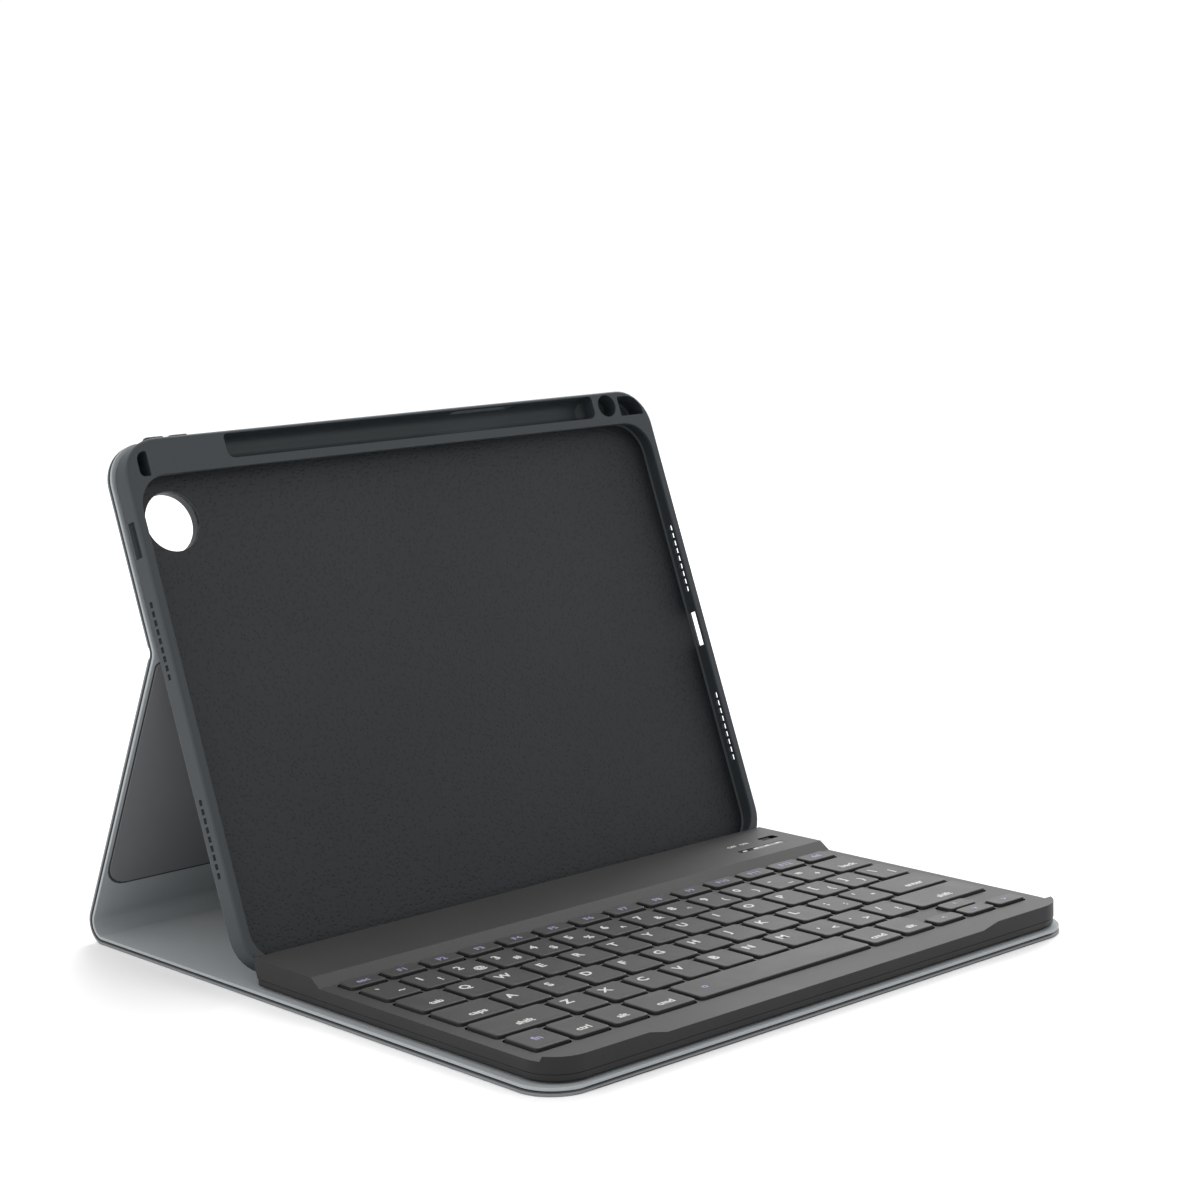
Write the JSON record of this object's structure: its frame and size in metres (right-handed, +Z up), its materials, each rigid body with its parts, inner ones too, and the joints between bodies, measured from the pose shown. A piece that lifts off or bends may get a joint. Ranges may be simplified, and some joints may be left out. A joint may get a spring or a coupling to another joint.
{
  "type": "tablet keyboard case",
  "caption": "Folio case for an 11-inch tablet, standing open, with a tray for the tablet and a lift-off keyboard.",
  "frame": {"origin": "middle of the case's footprint, on the surface it stands on", "axes": "+Z up, +X to the user's right, -Y towards the user, so the tray's open side and the keys face -Y and up"},
  "size_m": [0.252, 0.2611, 0.1876],
  "materials": {
    "cover_cloth": "dark slate grey synthetic leather with a fine cloth grain, matt",
    "lining": "mid grey smooth microfibre, matt",
    "board": "grey bookbinding board, hidden inside the panels",
    "tray_rubber": "dark slate grey flexible plastic, satin",
    "case_plastic": "dark grey, fine matt texture",
    "key_plastic": "dark grey, satin",
    "steel": "plain, stands for nickel-plated magnets too",
    "foot_rubber": "black, matt",
    "dome_rubber": "milky grey silicone",
    "membrane_film": "clear printed polyester film",
    "window_plastic": "smoked, with small light marks",
    "circuit_board": "green solder mask",
    "battery_pouch": "foil pouch"
  },
  "bodies": {
    "base": {"base_skin": "cover_cloth", "base_board": "board", "base_lining": "lining", "base_magnet_left": "steel", "base_magnet_right": "steel", "spine_skin": "cover_cloth", "spine_lining": "lining"},
    "keyboard": {"keyboard_bottom_case": "case_plastic", "keyboard_top_case": "case_plastic", "key_support_plate": "steel", "switch_membrane": "membrane_film", "rubber_dome_sheet": "dome_rubber", "battery": "battery_pouch", "circuit_board": "circuit_board", "charging_socket": "steel", "ledge_magnet": "steel", "indicator_window": "window_plastic", "front_foot": "foot_rubber", "rear_foot": "foot_rubber", "screw_front_left": "steel", "screw_front_right": "steel", "screw_rear_left": "steel", "screw_rear_right": "steel"},
    "leg": {"leg_skin": "cover_cloth", "leg_board": "board", "leg_lining": "lining"},
    "upper": {"upper_skin": "cover_cloth", "upper_board": "board", "tablet_tray": "tray_rubber"},
    "volume_up": {"volume_up_cover": "tray_rubber"},
    "volume_down": {"volume_down_cover": "tray_rubber"},
    "switch": {"power_switch": "key_plastic"},
    "escape_key": {"escape_key": "key_plastic"},
    "function_keys": {"function_keys": "key_plastic"},
    "number_keys": {"number_keys": "key_plastic"},
    "backspace_key": {"backspace_key": "key_plastic"},
    "tab_key": {"tab_key": "key_plastic"},
    "upper_letter_keys": {"upper_letter_keys": "key_plastic"},
    "caps_lock_key": {"caps_lock_key": "key_plastic"},
    "home_letter_keys": {"home_letter_keys": "key_plastic"},
    "enter_key": {"enter_key": "key_plastic"},
    "left_shift_key": {"left_shift_key": "key_plastic"},
    "lower_letter_keys": {"lower_letter_keys": "key_plastic"},
    "right_shift_key": {"right_shift_key": "key_plastic"},
    "function_lock_key": {"function_lock_key": "key_plastic"},
    "control_key": {"control_key": "key_plastic"},
    "left_option_key": {"left_option_key": "key_plastic"},
    "left_command_key": {"left_command_key": "key_plastic"},
    "space_bar": {"space_bar": "key_plastic"},
    "right_command_key": {"right_command_key": "key_plastic"},
    "right_option_key": {"right_option_key": "key_plastic"},
    "arrow_left_key": {"arrow_left_key": "key_plastic"},
    "arrow_up_key": {"arrow_up_key": "key_plastic"},
    "arrow_down_key": {"arrow_down_key": "key_plastic"},
    "arrow_right_key": {"arrow_right_key": "key_plastic"}
  },
  "joints": [
    {"name": "leg_hinge", "type": "hinge", "parent": "base", "child": "leg", "pos_m": [0, 0.1307, 0.0015], "axis": [1, 0, 0], "range_deg": [-116.1, 0]},
    {"name": "fold_hinge", "type": "hinge", "parent": "leg", "child": "upper", "pos_m": [0, 0.07565, 0.11357], "axis": [1, 0, 0], "range_deg": [0, 46.15]},
    {"name": "keyboard_lift", "type": "slide", "parent": "base", "child": "keyboard", "axis": [0, 0, 1], "range_m": [0, 0.03]},
    {"name": "volume_up_press", "type": "slide", "parent": "upper", "child": "volume_up", "axis": [0, -0.342, -0.9397], "range_m": [0, 0.0006], "stiffness_N_per_m": 2500},
    {"name": "volume_down_press", "type": "slide", "parent": "upper", "child": "volume_down", "axis": [0, -0.342, -0.9397], "range_m": [0, 0.0006], "stiffness_N_per_m": 2500},
    {"name": "power_switch_slide", "type": "slide", "parent": "keyboard", "child": "switch", "axis": [1, 0, 0], "range_m": [0, 0.0025]},
    {"name": "escape_key_press", "type": "slide", "parent": "keyboard", "child": "escape_key", "axis": [0, 0, -1], "range_m": [0, 0.0013], "stiffness_N_per_m": 600},
    {"name": "function_keys_press", "type": "slide", "parent": "keyboard", "child": "function_keys", "axis": [0, 0, -1], "range_m": [0, 0.0013], "stiffness_N_per_m": 900},
    {"name": "number_keys_press", "type": "slide", "parent": "keyboard", "child": "number_keys", "axis": [0, 0, -1], "range_m": [0, 0.0013], "stiffness_N_per_m": 900},
    {"name": "backspace_key_press", "type": "slide", "parent": "keyboard", "child": "backspace_key", "axis": [0, 0, -1], "range_m": [0, 0.0013], "stiffness_N_per_m": 600},
    {"name": "tab_key_press", "type": "slide", "parent": "keyboard", "child": "tab_key", "axis": [0, 0, -1], "range_m": [0, 0.0013], "stiffness_N_per_m": 600},
    {"name": "upper_letter_keys_press", "type": "slide", "parent": "keyboard", "child": "upper_letter_keys", "axis": [0, 0, -1], "range_m": [0, 0.0013], "stiffness_N_per_m": 900},
    {"name": "caps_lock_key_press", "type": "slide", "parent": "keyboard", "child": "caps_lock_key", "axis": [0, 0, -1], "range_m": [0, 0.0013], "stiffness_N_per_m": 600},
    {"name": "home_letter_keys_press", "type": "slide", "parent": "keyboard", "child": "home_letter_keys", "axis": [0, 0, -1], "range_m": [0, 0.0013], "stiffness_N_per_m": 900},
    {"name": "enter_key_press", "type": "slide", "parent": "keyboard", "child": "enter_key", "axis": [0, 0, -1], "range_m": [0, 0.0013], "stiffness_N_per_m": 600},
    {"name": "left_shift_key_press", "type": "slide", "parent": "keyboard", "child": "left_shift_key", "axis": [0, 0, -1], "range_m": [0, 0.0013], "stiffness_N_per_m": 600},
    {"name": "lower_letter_keys_press", "type": "slide", "parent": "keyboard", "child": "lower_letter_keys", "axis": [0, 0, -1], "range_m": [0, 0.0013], "stiffness_N_per_m": 900},
    {"name": "right_shift_key_press", "type": "slide", "parent": "keyboard", "child": "right_shift_key", "axis": [0, 0, -1], "range_m": [0, 0.0013], "stiffness_N_per_m": 600},
    {"name": "function_lock_key_press", "type": "slide", "parent": "keyboard", "child": "function_lock_key", "axis": [0, 0, -1], "range_m": [0, 0.0013], "stiffness_N_per_m": 600},
    {"name": "control_key_press", "type": "slide", "parent": "keyboard", "child": "control_key", "axis": [0, 0, -1], "range_m": [0, 0.0013], "stiffness_N_per_m": 600},
    {"name": "left_option_key_press", "type": "slide", "parent": "keyboard", "child": "left_option_key", "axis": [0, 0, -1], "range_m": [0, 0.0013], "stiffness_N_per_m": 600},
    {"name": "left_command_key_press", "type": "slide", "parent": "keyboard", "child": "left_command_key", "axis": [0, 0, -1], "range_m": [0, 0.0013], "stiffness_N_per_m": 600},
    {"name": "space_bar_press", "type": "slide", "parent": "keyboard", "child": "space_bar", "axis": [0, 0, -1], "range_m": [0, 0.0013], "stiffness_N_per_m": 600},
    {"name": "right_command_key_press", "type": "slide", "parent": "keyboard", "child": "right_command_key", "axis": [0, 0, -1], "range_m": [0, 0.0013], "stiffness_N_per_m": 600},
    {"name": "right_option_key_press", "type": "slide", "parent": "keyboard", "child": "right_option_key", "axis": [0, 0, -1], "range_m": [0, 0.0013], "stiffness_N_per_m": 600},
    {"name": "arrow_left_key_press", "type": "slide", "parent": "keyboard", "child": "arrow_left_key", "axis": [0, 0, -1], "range_m": [0, 0.0013], "stiffness_N_per_m": 600},
    {"name": "arrow_up_key_press", "type": "slide", "parent": "keyboard", "child": "arrow_up_key", "axis": [0, 0, -1], "range_m": [0, 0.0013], "stiffness_N_per_m": 600},
    {"name": "arrow_down_key_press", "type": "slide", "parent": "keyboard", "child": "arrow_down_key", "axis": [0, 0, -1], "range_m": [0, 0.0013], "stiffness_N_per_m": 600},
    {"name": "arrow_right_key_press", "type": "slide", "parent": "keyboard", "child": "arrow_right_key", "axis": [0, 0, -1], "range_m": [0, 0.0013], "stiffness_N_per_m": 600}
  ],
  "couplings": [
    {"joint": "fold_hinge", "follows": "leg_hinge", "ratio": -0.39739}
  ]
}
